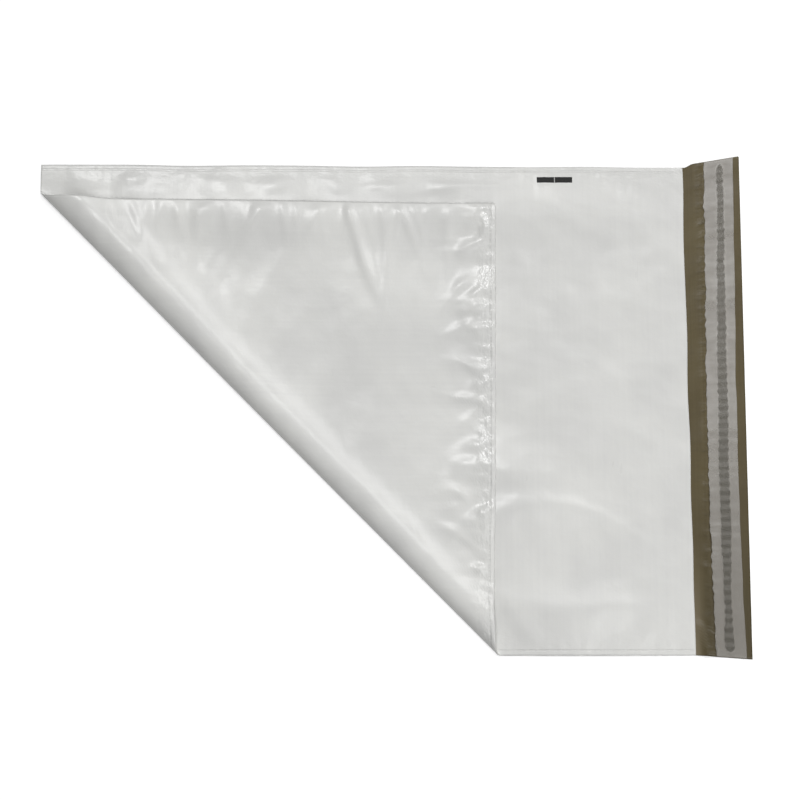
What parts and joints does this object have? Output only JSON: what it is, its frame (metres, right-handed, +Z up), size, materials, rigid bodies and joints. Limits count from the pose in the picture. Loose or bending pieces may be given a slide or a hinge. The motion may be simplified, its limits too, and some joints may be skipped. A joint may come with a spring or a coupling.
{
  "type": "poly mailer bag",
  "caption": "Flat plastic film mailing bag, white outside and brown inside, with a self-seal flap and release liner, one corner turned over.",
  "frame": {"origin": "middle of the bag's outline as it lies, on the surface it lies on", "axes": "+X from the closed end to the flap, +Y across the bag, +Z up out of the front panel"},
  "size_m": [0.524, 0.378, 0.0088],
  "materials": {
    "film": "white co-extruded polyethylene film with a soft satin gloss, olive brown on its inner side",
    "adhesive": "grey hot-melt pressure-sensitive adhesive",
    "liner": "thin translucent release film, greyish white"
  },
  "bodies": {
    "root": {"bag_film": "film", "adhesive_strip": "adhesive", "release_liner": "liner"}
  },
  "joints": []
}
